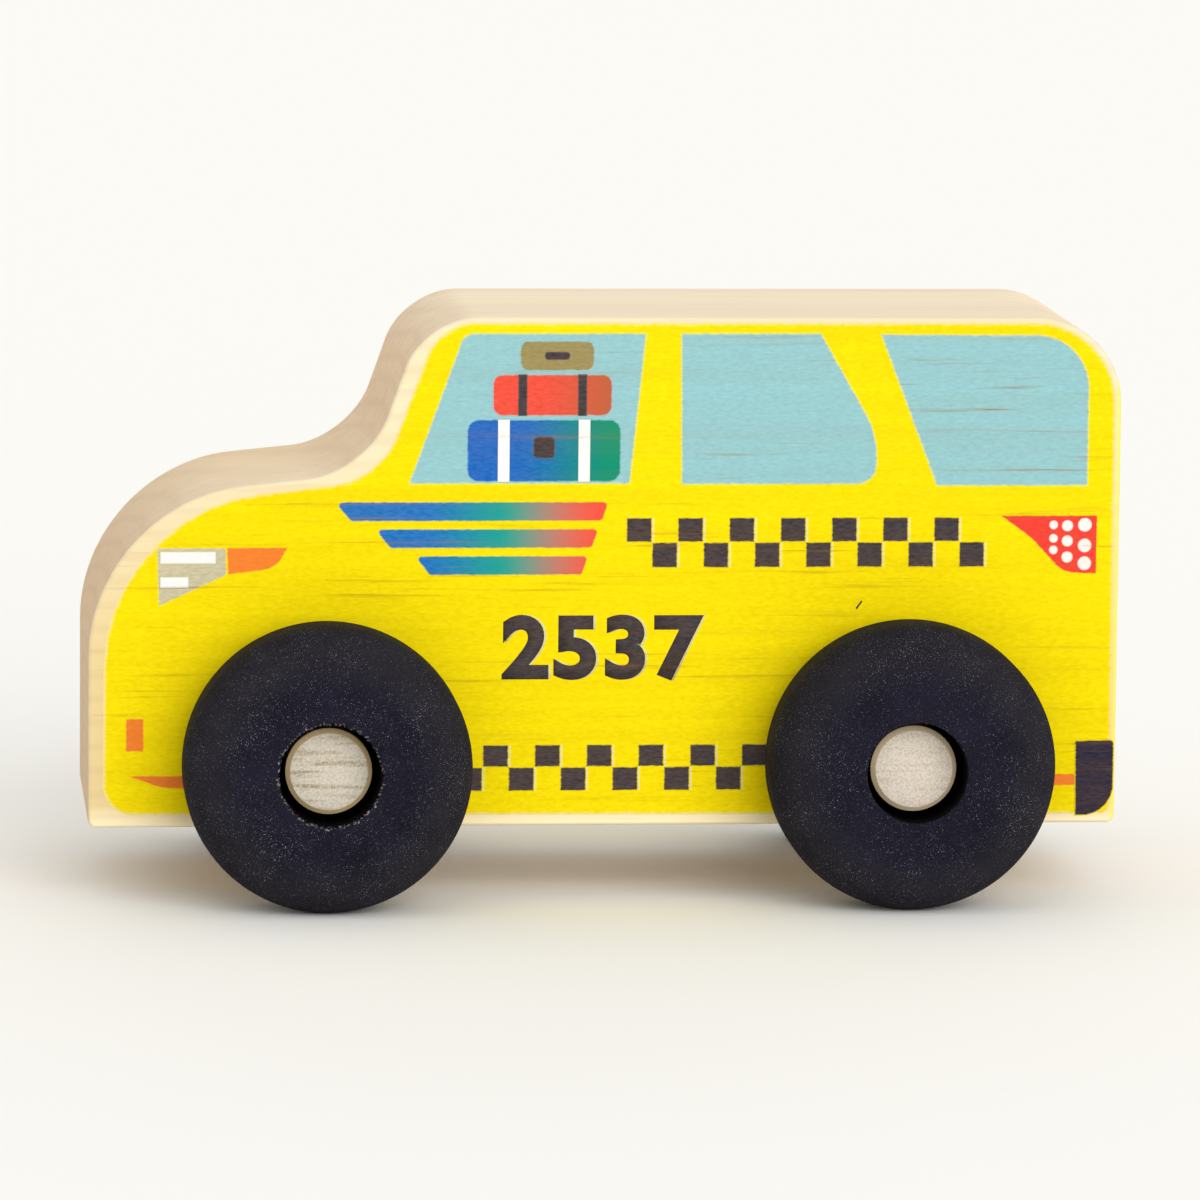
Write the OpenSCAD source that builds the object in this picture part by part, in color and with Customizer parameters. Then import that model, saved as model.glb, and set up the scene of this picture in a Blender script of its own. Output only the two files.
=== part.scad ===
// Push-along toy taxi: a hardwood block sawn to a van outline, on four wheels that spin on headed pegs.
// Millimetres. +X is forward, +Y is the car's left side, +Z is up.
// The origin is on the ground, under the middle of the body.

/* [Body] */
// Length of the block from nose to tail
body_length = 114.3; // [105:0.1:130]
// Thickness of the block from side to side
body_thickness = 33.3; // [30:0.1:45]
// Height of the roof above the underside
roof_height = 56.6; // [54:0.1:64]
// Height of the hood above the underside, where it meets the windscreen
hood_height = 39.4; // [36:0.1:42]
// Slope of the hood down towards the nose, in degrees
hood_slope = 5.9; // [2:0.1:9]
// Distance of the windscreen's foot behind the nose
windscreen_setback = 30.6; // [27:0.1:36]
// Angle of the windscreen from the level, in degrees
windscreen_angle = 70.6; // [60:0.1:85]

/* [Body curves] */
// Radius of the nose, from the upright front to the hood
nose_radius = 19; // [10:0.1:21]
// Radius of the hollow between hood and windscreen
cowl_radius = 10.5; // [4:0.1:12]
// Radius from the windscreen to the roof
brow_radius = 8.5; // [3:0.1:10]
// Radius from the roof to the upright tail
tail_radius = 9.7; // [3:0.1:16]
// Radius of the two bottom corners
sill_radius = 0.9; // [0.9:0.1:4]
// Radius of the sanded edge round both sides
edge_radius = 0.5; // [0.2:0.1:0.8]

/* [Axles] */
// Distance of the front axle behind the nose
front_axle_setback = 26; // [23:0.1:30]
// Distance of the rear axle ahead of the tail
rear_axle_setback = 23.9; // [21:0.1:30]
// Height of the axles above the underside
axle_height = 7.7; // [6:0.1:10]

/* [Wheels] */
// Diameter of a wheel
wheel_diameter = 31.75; // [28:0.05:38]
// Thickness of a wheel
wheel_thickness = 12.7; // [11:0.1:16]
// Radius of the wheel's outer edge
wheel_outer_edge = 5; // [1:0.1:5.5]
// Radius of the wheel's edge beside the body
wheel_inner_edge = 4; // [0.5:0.1:5]
// Diameter of the recess that hides the peg's head
recess_diameter = 11.1; // [10.3:0.1:14]
// Thickness of the wheel that is left behind the recess
wheel_web = 5.9; // [4:0.1:7]

/* [Pegs] */
// Diameter of the peg's head
head_diameter = 9.5; // [8:0.1:10]
// Thickness of the peg's head
head_thickness = 3; // [2:0.1:4]
// Width of the bevel round the head's face
head_bevel = 0.5; // [0.2:0.1:1.5]
// Diameter of the peg's shank
shank_diameter = 5.5; // [4:0.1:7]
// Length of the shank that is glued into the body
shank_grip = 12.7; // [8:0.1:13.5]
// Width of the bevel on the shank's tip
tip_bevel = 0.6; // [0.2:0.1:1]

/* [Clearances] */
// Radial gap between the wheel's bore and the peg
running_gap = 0.1; // [0.05:0.01:0.4]
// Gap on each side of the wheel, to the body and to the peg's head
side_gap = 0.4; // [0.2:0.05:1]
// Radial gap that the glue fills round the shank in the body
glue_gap = 0.03; // [0.01:0.01:0.2]
// Empty depth left under the shank's tip
hole_spare = 0.7; // [0.2:0.1:1]

/* [Hidden] */

maple = "#f0deb8";
dyed_black = "#2b2a33";
peg_wood = "#ded6c6";

$fn = 96;
// How far a cut runs past the face that it opens
cut_overrun = 1;
// Largest turn between two points of a curve on the body, in degrees
curve_step = 5;
// Rings across the sanded edge
edge_rings = 4;

half_thickness = body_thickness / 2;
wheel_radius = wheel_diameter / 2;
underside = wheel_radius - axle_height;
front_axle_x = body_length / 2 - front_axle_setback;
rear_axle_x = rear_axle_setback - body_length / 2;
recess_depth = wheel_thickness - wheel_web;
bore_diameter = shank_diameter + 2 * running_gap;
hole_diameter = shank_diameter + 2 * glue_gap;
hole_depth = shank_grip + hole_spare;
// Length of the shank outside the body, up to the head
shank_run = wheel_web + 2 * side_gap;

// Side outline: the corners before rounding, from the sill at the nose round to the sill at the tail.
// Each is the distance behind the nose and the height above the underside.
nose_top = hood_height - windscreen_setback * tan(hood_slope);
windscreen_lean = (roof_height - hood_height) / tan(windscreen_angle);
outline_corners = [
    [0, 0],
    [0, nose_top],
    [windscreen_setback, hood_height],
    [windscreen_setback + windscreen_lean, roof_height],
    [body_length, roof_height],
    [body_length, 0]
];
outline_radii = [sill_radius, nose_radius, cowl_radius, brow_radius, tail_radius, sill_radius];

function unit(v) = v / norm(v);
function heading(v) = atan2(v[1], v[0]);
// Turn from one direction to the next, between -180 and 180 degrees
function turn(a, b) = (heading(b) - heading(a) + 540) % 360 - 180;

// Points of one rounded corner, with the outline moved inwards by inset.
// A right turn bulges out, so its radius shrinks with the inset. A left turn is a hollow, which grows.
function corner_points(before, corner, after, radius, inset) =
    let (
        run_in = unit(corner - before),
        run_out = unit(after - corner),
        bend = turn(run_in, run_out),
        side = sign(bend),
        reach = radius * tan(abs(bend) / 2),
        centre = corner - run_in * reach + side * radius * [-run_in[1], run_in[0]],
        rounded = radius + side * inset,
        steps = ceil(abs(bend) / curve_step),
        first = heading(run_in) - side * 90
    )
    [for (i = [0 : steps]) let (a = first + bend * i / steps) centre + rounded * [cos(a), sin(a)]];

// The whole side outline, moved inwards by inset
function side_outline(inset) =
    let (last = len(outline_corners) - 1)
    [for (i = [0 : last])
        each corner_points(
            outline_corners[i == 0 ? last : i - 1], outline_corners[i],
            outline_corners[i == last ? 0 : i + 1], outline_radii[i], inset)];

// Rings of the block from right side to left side, each an inset and a place across the block
ring_angles = [for (i = [0 : edge_rings]) 90 * i / edge_rings];
left_rings = [for (a = ring_angles)
    [edge_radius * (1 - cos(a)), half_thickness - edge_radius * (1 - sin(a))]];
right_rings = [for (i = [edge_rings : -1 : 0]) [left_rings[i][0], -left_rings[i][1]]];
block_rings = concat(right_rings, left_rings);

// The block with its outline and sanded edges, on the ground clearance that the wheels give it
module block() {
    ring_size = len(side_outline(0));
    ring_count = len(block_rings);
    points = [for (ring = block_rings) each
        [for (p = side_outline(ring[0])) [body_length / 2 - p[0], ring[1], underside + p[1]]]];
    walls = [for (r = [0 : ring_count - 2], i = [0 : ring_size - 1])
        let (j = (i + 1) % ring_size)
        [r * ring_size + i, r * ring_size + j, (r + 1) * ring_size + j, (r + 1) * ring_size + i]];
    // Each flat side fans out from the bottom corner at the tail, which sees the whole outline
    fan = ring_size - 1;
    left_start = (ring_count - 1) * ring_size;
    sides = [for (i = [0 : ring_size - 3]) each [
        [fan, i + 1, i],
        [left_start + fan, left_start + i, left_start + i + 1]]];
    polyhedron(points, concat(walls, sides));
}

// Places a child at an axle, its axis pointing out of the car and its base on the car's side.
// side is 1 on the left and -1 on the right.
module on_axle(axle_x, side)
    translate([axle_x, side * half_thickness, wheel_radius])
        rotate([-side * 90, 0, 0])
            children();

// Hardwood block with a blind hole for each peg
module body() {
    color(maple)
        difference() {
            block();
            for (axle_x = [front_axle_x, rear_axle_x], side = [1, -1])
                on_axle(axle_x, side)
                    translate([0, 0, -hole_depth])
                        cylinder(d = hole_diameter, h = hole_depth + cut_overrun);
        }
}

// Turned wheel with two rounded edges, a bore and a recess for the peg's head
module wheel(axle_x, side) {
    color(dyed_black)
        on_axle(axle_x, side)
            translate([0, 0, side_gap])
                difference() {
                    rotate_extrude()
                        union() {
                            polygon([
                                [0, 0],
                                [wheel_radius - wheel_inner_edge, 0],
                                [wheel_radius, wheel_inner_edge],
                                [wheel_radius, wheel_thickness - wheel_outer_edge],
                                [wheel_radius - wheel_outer_edge, wheel_thickness],
                                [0, wheel_thickness]
                            ]);
                            translate([wheel_radius - wheel_inner_edge, wheel_inner_edge])
                                circle(r = wheel_inner_edge);
                            translate([wheel_radius - wheel_outer_edge, wheel_thickness - wheel_outer_edge])
                                circle(r = wheel_outer_edge);
                        }
                    translate([0, 0, -cut_overrun])
                        cylinder(d = bore_diameter, h = wheel_thickness + 2 * cut_overrun);
                    translate([0, 0, wheel_web])
                        cylinder(d = recess_diameter, h = recess_depth + cut_overrun);
                }
}

// Turned peg: a bevelled flat head on a shank that is glued into the body
module axle_peg(axle_x, side) {
    head_top = shank_run + head_thickness;
    color(peg_wood)
        on_axle(axle_x, side)
            rotate_extrude()
                polygon([
                    [0, -shank_grip],
                    [shank_diameter / 2 - tip_bevel, -shank_grip],
                    [shank_diameter / 2, tip_bevel - shank_grip],
                    [shank_diameter / 2, shank_run],
                    [head_diameter / 2, shank_run],
                    [head_diameter / 2, head_top - head_bevel],
                    [head_diameter / 2 - head_bevel, head_top],
                    [0, head_top]
                ]);
}

body();
wheel(front_axle_x, 1);  // wheel_front_left
wheel(front_axle_x, -1);  // wheel_front_right
wheel(rear_axle_x, 1);  // wheel_rear_left
wheel(rear_axle_x, -1);  // wheel_rear_right
axle_peg(front_axle_x, 1);  // axle_peg_front_left
axle_peg(front_axle_x, -1);  // axle_peg_front_right
axle_peg(rear_axle_x, 1);  // axle_peg_rear_left
axle_peg(rear_axle_x, -1);  // axle_peg_rear_right
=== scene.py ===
import math
import random

import bmesh
import bpy
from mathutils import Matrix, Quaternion, Vector


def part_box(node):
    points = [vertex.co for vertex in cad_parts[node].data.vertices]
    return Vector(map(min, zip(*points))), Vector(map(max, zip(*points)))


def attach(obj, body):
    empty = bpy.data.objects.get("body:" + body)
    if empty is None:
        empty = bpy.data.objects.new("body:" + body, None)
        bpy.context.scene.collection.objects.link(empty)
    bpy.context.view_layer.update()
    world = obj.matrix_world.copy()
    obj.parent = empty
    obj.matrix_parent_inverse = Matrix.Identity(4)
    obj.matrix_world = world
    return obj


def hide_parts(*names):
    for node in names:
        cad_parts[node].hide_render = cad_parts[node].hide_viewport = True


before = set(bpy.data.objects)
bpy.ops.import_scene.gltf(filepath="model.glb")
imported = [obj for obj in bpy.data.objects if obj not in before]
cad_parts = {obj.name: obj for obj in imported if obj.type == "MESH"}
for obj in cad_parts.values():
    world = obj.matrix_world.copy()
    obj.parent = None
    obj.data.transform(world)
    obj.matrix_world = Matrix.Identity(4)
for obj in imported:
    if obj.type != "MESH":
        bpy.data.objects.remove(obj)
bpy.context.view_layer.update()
mm = 0.001

# where the car is, read from the CAD pieces
bodyLow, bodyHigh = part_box("body")
noseX = bodyHigh.x
underside = bodyLow.z
halfThick = bodyHigh.y
sides = {"left": 1, "right": -1}
wheelCorners = [(end, side) for end in ("front", "rear") for side in sides]


# small helpers

def clearSelection():
    if bpy.context.mode != "OBJECT":
        bpy.ops.object.mode_set(mode="OBJECT")
    bpy.ops.object.select_all(action="DESELECT")


def selectOnly(piece):
    clearSelection()
    bpy.context.view_layer.objects.active = piece
    piece.select_set(True)


def startEdit(piece, mode="VERT"):
    selectOnly(piece)
    bpy.ops.object.mode_set(mode="EDIT")
    bpy.ops.mesh.select_mode(type=mode)
    bpy.ops.mesh.select_all(action="DESELECT")


def endEdit():
    bpy.ops.object.mode_set(mode="OBJECT")


def pick(piece, kind, test):  # selects the verts, edges or faces that pass the test
    bpy.ops.mesh.select_all(action="DESELECT")
    mesh = bmesh.from_edit_mesh(piece.data)
    found = 0
    for item in getattr(mesh, kind):
        if test(item):
            item.select_set(True)
            found += 1
    mesh.select_flush_mode()
    bmesh.update_edit_mesh(piece.data)
    return found


def middle(edge):
    return (edge.verts[0].co + edge.verts[1].co) / 2


def boxMiddle(node):
    low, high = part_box(node)
    return (low + high) / 2


def isRoundEnd(face, y):  # a flat end of a turned piece, at y
    return len(face.verts) > 8 and abs(face.calc_center_median().y - y) < 0.02 * mm


def settle(piece):  # puts the piece's place into its mesh
    selectOnly(piece)
    bpy.ops.object.transform_apply(location=True, rotation=True, scale=True)


def applyModifiers(piece):
    selectOnly(piece)
    for modifier in list(piece.modifiers):
        bpy.ops.object.modifier_apply(modifier=modifier.name)


def smooth(piece, degrees):
    selectOnly(piece)
    bpy.ops.object.shade_smooth_by_angle(angle=math.radians(degrees))


def joinPieces(pieces, name):
    clearSelection()
    for piece in pieces:
        piece.select_set(True)
    bpy.context.view_layer.objects.active = pieces[0]
    if len(pieces) > 1:
        bpy.ops.object.join()
    joined = bpy.context.view_layer.objects.active
    joined.name = name
    return joined


def dress(piece, material):
    piece.data.materials.clear()
    piece.data.materials.append(material)


# materials

def hexColour(code):  # sRGB hex to linear RGBA
    parts = [int(code[i:i + 2], 16) / 255 for i in (1, 3, 5)]
    linear = [c / 12.92 if c <= 0.04045 else ((c + 0.055) / 1.055) ** 2.4 for c in parts]
    return (*linear, 1)


def addNode(tree, kind, inputs=None, **settings):
    node = tree.nodes.new("ShaderNode" + kind)
    for name, value in settings.items():
        setattr(node, name, value)
    for name, value in (inputs or {}).items():
        if isinstance(value, bpy.types.NodeSocket):
            tree.links.new(value, node.inputs[name])
        else:
            node.inputs[name].default_value = value
    return node


def newMaterial(name):
    material = bpy.data.materials.new(name)
    material.use_nodes = True
    tree = material.node_tree
    tree.nodes.clear()
    return material, tree


mixFactor, mixA, mixB, mixOut = 0, 6, 7, 2  # sockets of a colour Mix node

grain = {  # mm: length along the board, gap across it
    "streak": (70, 1.7),  # soft light and dark bands
    "line": (20, 0.5),  # thin brown growth lines
    "patch": (40, 9),  # where the lines gather
    "fleck": (0.8, 0.27),  # fibres and pores, drawn as coarse as two pixels
}


def grainPatterns(tree):  # streak, line and fleck masks of one board with its grain along X
    place = addNode(tree, "TexCoord").outputs["Object"]
    noise = {}
    for name, (length, gap) in grain.items():
        scale = (1 / (length * mm), 1 / (gap * mm), 1 / (gap * mm))
        spot = addNode(tree, "Mapping", {"Vector": place, "Scale": scale})
        texture = addNode(tree, "TexNoise", {
            "Vector": spot.outputs[0], "Scale": 1, "Detail": 3, "Roughness": 0.55, "Distortion": 0.15})
        noise[name] = texture.outputs["Fac"]
    streak = addNode(tree, "MapRange", {"Value": noise["streak"], "From Min": 0.35, "From Max": 0.68})
    line = addNode(tree, "MapRange", {"Value": noise["line"], "From Min": 0.6, "From Max": 0.72})
    patch = addNode(tree, "MapRange", {"Value": noise["patch"], "From Min": 0.42, "From Max": 0.58})
    lines = addNode(tree, "Math", {0: line.outputs[0], 1: patch.outputs[0]}, operation="MULTIPLY")
    fleck = addNode(tree, "MapRange", {"Value": noise["fleck"], "From Min": 0.28, "From Max": 0.72})
    return streak.outputs[0], lines.outputs[0], fleck.outputs[0]


def mapleMaterial():
    # hard maple, sawn and sanded: pale cream long grain, darker and duller where the saw crossed the grain
    look = {
        "long": "#ecddc0", "deep": "#dcbd88", "streak": "#dfc698", "line": "#b48f5c", "ring": "#b18a5c",
        # the foot tone is painted light along the bottom edge
        "sideHigh": "#ebdeb9", "sideLow": "#e3ca90", "foot": "#fdedc2",
        "end": "#eed4b2", "endLow": "#d9be98", "endDark": "#c6a179", "ink": "#f6e04c"}
    share = {  # how much of each tone and pattern shows
        "deep": 0.4, "deepLeft": 0.35, "deepRight": 1.9, "streak": 0.3, "endStreak": 0.16, "endFleck": 0.36,
        "ring": 0.1, "line": 0.45, "ink": 0.85}
    change = {  # mm between which one tone turns into the next
        "deep": (2, 18),  # below the roof
        "low": (50, 26),  # above the ground
        "foot": (2.5, 1),  # above the underside, painted light along the bottom edge
        "tail": (0.7, 0.3)}  # ahead of the tail
    rings = {
        "gap": 2.6,  # mm between growth rings
        "heart": (9, -46),  # mm, the tree's heart, left of the middle and above the ground
        "stretch": 0.05}  # how much shorter than round the rings are along the board
    material, tree = newMaterial("sanded maple")
    streak, lines, fleck = grainPatterns(tree)
    coords = addNode(tree, "TexCoord")
    place = addNode(tree, "SeparateXYZ", {0: coords.outputs["Object"]})
    normal = addNode(tree, "SeparateXYZ", {0: coords.outputs["Normal"]})
    endways = addNode(tree, "Math", {0: normal.outputs[0]}, operation="ABSOLUTE").outputs[0]
    sideways = addNode(tree, "Math", {0: normal.outputs[1]}, operation="ABSOLUTE").outputs[0]
    # where each tone is
    endMask = addNode(tree, "MapRange", {"Value": endways, "From Min": -0.15, "From Max": 0.9})
    sideMask = addNode(tree, "MapRange", {"Value": sideways, "From Min": 0.5, "From Max": 0.95})
    inFrom = addNode(tree, "MapRange", {  # a sanded edge is as pale as the side that it belongs to
        "Value": sideways, "From Min": 0.25, "From Max": 0.6, "To Min": 1, "To Max": 0})
    endShow = addNode(tree, "Math", {0: endMask.outputs[0], 1: inFrom.outputs[0]}, operation="MULTIPLY")
    deep = addNode(tree, "MapRange", {  # deeper layers of the board are warmer
        "Value": place.outputs[2], "From Min": bodyHigh.z - change["deep"][0] * mm,
        "From Max": bodyHigh.z - change["deep"][1] * mm, "To Max": share["deep"]})
    heartwood = addNode(tree, "MapRange", {  # and most so towards the right side
        "Value": place.outputs[1], "From Min": halfThick, "From Max": -halfThick,
        "To Min": share["deepLeft"], "To Max": share["deepRight"]})
    warmth = addNode(tree, "Math", {0: deep.outputs[0], 1: heartwood.outputs[0]}, operation="MULTIPLY")
    low = addNode(tree, "MapRange", {
        "Value": place.outputs[2], "From Min": change["low"][0] * mm, "From Max": change["low"][1] * mm})
    foot = addNode(tree, "MapRange", {  # painted light: palest along the bottom edge, against the shade that the floor casts there
        "Value": place.outputs[2], "From Min": underside + change["foot"][0] * mm,
        "From Max": underside + change["foot"][1] * mm})
    # plain tones
    top = addNode(tree, "Mix", {
        mixFactor: warmth.outputs[0], mixA: hexColour(look["long"]), mixB: hexColour(look["deep"])},
        data_type="RGBA")
    upperSide = addNode(tree, "Mix", {
        mixFactor: low.outputs[0], mixA: hexColour(look["sideHigh"]), mixB: hexColour(look["sideLow"])},
        data_type="RGBA")
    # painted light: the sides turn paler along their bottom edge
    side = addNode(tree, "Mix", {
        mixFactor: foot.outputs[0], mixA: upperSide.outputs[mixOut], mixB: hexColour(look["foot"])},
        data_type="RGBA")
    end = addNode(tree, "Mix", {
        mixFactor: low.outputs[0], mixA: hexColour(look["end"]), mixB: hexColour(look["endLow"])},
        data_type="RGBA")
    plain = addNode(tree, "Mix", {
        mixFactor: sideMask.outputs[0], mixA: top.outputs[mixOut], mixB: side.outputs[mixOut]},
        data_type="RGBA")
    # grain along the board and across it
    streakShare = addNode(tree, "Math", {0: streak, 1: share["streak"]}, operation="MULTIPLY")
    longGrain = addNode(tree, "Mix", {
        mixFactor: streakShare.outputs[0], mixA: plain.outputs[mixOut], mixB: hexColour(look["streak"])},
        data_type="RGBA")
    endPatch = addNode(tree, "Math", {0: streak, 1: share["endStreak"]}, operation="MULTIPLY")
    endShare = addNode(tree, "Math", {
        0: fleck, 1: share["endFleck"], 2: endPatch.outputs[0]}, operation="MULTIPLY_ADD")
    endGrain = addNode(tree, "Mix", {
        mixFactor: endShare.outputs[0], mixA: end.outputs[mixOut], mixB: hexColour(look["endDark"])},
        data_type="RGBA")
    bare = addNode(tree, "Mix", {
        mixFactor: endShow.outputs[0], mixA: longGrain.outputs[mixOut], mixB: endGrain.outputs[mixOut]},
        data_type="RGBA")
    # growth rings round the tree's heart, and growth lines
    heartY, heartZ = rings["heart"]
    heart = addNode(tree, "Mapping", {
        "Vector": coords.outputs["Object"], "Location": (0, -heartY * mm, -heartZ * mm),
        "Scale": (rings["stretch"], 1, 1)})
    wave = addNode(tree, "TexWave", {  # its rings are tau / 20 apart at scale 1
        "Vector": heart.outputs[0], "Scale": math.tau / (20 * rings["gap"] * mm), "Distortion": 1.1,
        "Detail": 2, "Detail Scale": 0.5, "Detail Roughness": 0.4},
        wave_type="RINGS", rings_direction="X", wave_profile="SIN")
    ringMask = addNode(tree, "MapRange", {
        "Value": wave.outputs["Fac"], "From Min": 0.5, "From Max": 1, "To Max": share["ring"]})
    ringed = addNode(tree, "Mix", {
        mixFactor: ringMask.outputs[0], mixA: bare.outputs[mixOut], mixB: hexColour(look["ring"])},
        data_type="RGBA")
    lineShare = addNode(tree, "Math", {0: lines, 1: share["line"]}, operation="MULTIPLY")
    lined = addNode(tree, "Mix", {
        mixFactor: lineShare.outputs[0], mixA: ringed.outputs[mixOut], mixB: hexColour(look["line"])},
        data_type="RGBA")
    # yellow ink that ran over the tail's sanded edges
    atTail = addNode(tree, "MapRange", {
        "Value": place.outputs[0], "From Min": bodyLow.x + change["tail"][0] * mm,
        "From Max": bodyLow.x + change["tail"][1] * mm})
    facingOut = addNode(tree, "MapRange", {
        "Value": sideways, "From Min": 0.2, "From Max": 0.7, "To Max": share["ink"]})
    inkShare = addNode(tree, "Math", {0: atTail.outputs[0], 1: facingOut.outputs[0]}, operation="MULTIPLY")
    inked = addNode(tree, "Mix", {
        mixFactor: inkShare.outputs[0], mixA: lined.outputs[mixOut], mixB: hexColour(look["ink"])},
        data_type="RGBA")
    bump = addNode(tree, "Bump", {"Height": fleck, "Strength": 0.12, "Distance": 0.05 * mm})
    shader = addNode(tree, "BsdfPrincipled", {
        "Base Color": inked.outputs[mixOut], "Roughness": 0.65, "IOR": 1.5, "Specular IOR Level": 0.2,
        "Normal": bump.outputs[0]})
    addNode(tree, "OutputMaterial", {"Surface": shader.outputs[0]})
    return material


def inkMaterial(name, colour, under, fade=(), fleckLight=0.005, lineShow=0.5):
    # flatbed ink soaked into sanded maple: an even, dead matt colour that the grain still shows through,
    # thinner along its edges, where what is under it shows
    look = {"streak": 0.09, "lineTint": "#94691a", "fleckDark": 0.86, "ragged": 0.5, "thin": 0.88}
    material, tree = newMaterial(name)
    streak, lines, fleck = grainPatterns(tree)
    tint = hexColour(colour)
    light = tuple(min(1, c + fleckLight) for c in tint[:3]) + (1,)
    dark = tuple(c * look["fleckDark"] for c in tint[:3]) + (1,)
    base = addNode(tree, "Mix", {mixFactor: fleck, mixA: dark, mixB: light}, data_type="RGBA").outputs[mixOut]
    if fade:  # other colours further back along the car
        place = addNode(tree, "SeparateXYZ", {0: addNode(tree, "TexCoord").outputs["Object"]})
        for stop in fade:
            share = addNode(tree, "MapRange", {
                "Value": place.outputs[0],
                "From Min": noseX - stop["from"] * mm, "From Max": noseX - stop["to"] * mm},
                interpolation_type="SMOOTHSTEP")
            base = addNode(tree, "Mix", {
                mixFactor: share.outputs[0], mixA: base, mixB: hexColour(stop["colour"])},
                data_type="RGBA").outputs[mixOut]
    streakShare = addNode(tree, "Math", {0: streak, 1: look["streak"]}, operation="MULTIPLY")
    lineShare = addNode(tree, "Math", {0: lines, 1: lineShow}, operation="MULTIPLY")
    shade = addNode(tree, "Math", {0: streakShare.outputs[0], 1: lineShare.outputs[0]}, operation="ADD")
    lined = addNode(tree, "Mix", {
        mixFactor: shade.outputs[0], mixA: base, mixB: hexColour(look["lineTint"])}, data_type="RGBA")
    edge = addNode(tree, "Attribute", attribute_name="edge")
    ragged = addNode(tree, "Math", {
        0: fleck, 1: look["ragged"], 2: edge.outputs["Fac"]}, operation="MULTIPLY_ADD")
    thin = addNode(tree, "MapRange", {
        "Value": ragged.outputs[0], "From Min": 0.5, "From Max": 1.3, "To Max": look["thin"]})
    soaked = addNode(tree, "Mix", {
        mixFactor: thin.outputs[0], mixA: lined.outputs[mixOut], mixB: hexColour(under)}, data_type="RGBA")
    bump = addNode(tree, "Bump", {"Height": fleck, "Strength": 0.1, "Distance": 0.04 * mm})
    shader = addNode(tree, "BsdfPrincipled", {
        "Base Color": soaked.outputs[mixOut], "Roughness": 0.7, "IOR": 1.48, "Specular IOR Level": 0.012,
        "Normal": bump.outputs[0]})
    addNode(tree, "OutputMaterial", {"Surface": shader.outputs[0]})
    return material


def dyedMaterial():
    # turned hardwood soaked in black dye: blue-black and matt, finely mottled, with pale dust in its pores,
    # and painted shade in the recess
    look = {
        "face": "#0e0d14", "faceLight": "#272634", "edge": "#121114", "edgeLight": "#333137",
        # inside is painted shade, near black, for the peg recess
        "dust": "#96939b", "bare": "#8f8a84", "inside": "#060507"}
    sizes = {"cloud": 4, "dust": 0.1, "patch": 4.5, "chip": 0.28}  # mm, dust drawn as coarse as a pixel
    share = {"cloud": 0.5, "speckle": 0.5}  # of the mottling
    # noise above which dust shows, in clean and in dusty patches, and how much sooner at the edge
    dustFrom = {"clean": 0.715, "dusty": 0.65, "edge": 0.012}
    material, tree = newMaterial("black dyed hardwood")
    place = addNode(tree, "TexCoord").outputs["Object"]
    noise = {}
    for name, size in sizes.items():
        texture = addNode(tree, "TexNoise", {"Vector": place, "Scale": 1 / (size * mm), "Detail": 2})
        noise[name] = texture.outputs["Fac"]
    turned = addNode(tree, "Attribute", attribute_name="turned")
    edgeMask = addNode(tree, "MapRange", {"Value": turned.outputs["Fac"], "From Min": 0.6, "From Max": 0.85})
    speckle = addNode(tree, "MapRange", {
        "Value": noise["dust"], "From Min": 0.35, "From Max": 0.65, "To Max": share["speckle"]})
    mottle = addNode(tree, "Math", {
        0: noise["cloud"], 1: share["cloud"], 2: speckle.outputs[0]}, operation="MULTIPLY_ADD")
    face = addNode(tree, "Mix", {
        mixFactor: mottle.outputs[0], mixA: hexColour(look["face"]), mixB: hexColour(look["faceLight"])},
        data_type="RGBA")
    edge = addNode(tree, "Mix", {
        mixFactor: mottle.outputs[0], mixA: hexColour(look["edge"]), mixB: hexColour(look["edgeLight"])},
        data_type="RGBA")
    dyed = addNode(tree, "Mix", {
        mixFactor: edgeMask.outputs[0], mixA: face.outputs[mixOut], mixB: edge.outputs[mixOut]},
        data_type="RGBA")
    patch = addNode(tree, "MapRange", {
        "Value": noise["patch"], "From Min": 0.3, "From Max": 0.75,
        "To Min": dustFrom["clean"], "To Max": dustFrom["dusty"]})
    dust = addNode(tree, "Math", {0: noise["dust"], 1: patch.outputs[0]}, operation="SUBTRACT")
    edgeDust = addNode(tree, "Math", {
        0: edgeMask.outputs[0], 1: dustFrom["edge"], 2: dust.outputs[0]}, operation="MULTIPLY_ADD")
    dustMask = addNode(tree, "MapRange", {"Value": edgeDust.outputs[0], "From Min": 0, "From Max": 0.06})
    dusty = addNode(tree, "Mix", {
        mixFactor: dustMask.outputs[0], mixA: dyed.outputs[mixOut], mixB: hexColour(look["dust"])},
        data_type="RGBA")
    worn = addNode(tree, "Attribute", attribute_name="worn")
    broken = addNode(tree, "Math", {0: worn.outputs["Fac"], 1: noise["chip"]}, operation="ADD")
    chipMask = addNode(tree, "MapRange", {"Value": broken.outputs[0], "From Min": 1.48, "From Max": 1.7})
    chipped = addNode(tree, "Mix", {
        mixFactor: chipMask.outputs[0], mixA: dusty.outputs[mixOut], mixB: hexColour(look["bare"])},
        data_type="RGBA")
    # painted shade: the recess's wall and floor darkened to near black
    inside = addNode(tree, "Attribute", attribute_name="inside")
    shaded = addNode(tree, "Mix", {
        mixFactor: inside.outputs["Fac"], mixA: chipped.outputs[mixOut], mixB: hexColour(look["inside"])},
        data_type="RGBA")
    bump = addNode(tree, "Bump", {"Height": noise["dust"], "Strength": 0.25, "Distance": 0.06 * mm})
    shader = addNode(tree, "BsdfPrincipled", {
        "Base Color": shaded.outputs[mixOut], "Roughness": 0.6, "IOR": 1.5, "Specular IOR Level": 0.01,
        "Normal": bump.outputs[0]})
    addNode(tree, "OutputMaterial", {"Surface": shader.outputs[0]})
    return material


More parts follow.
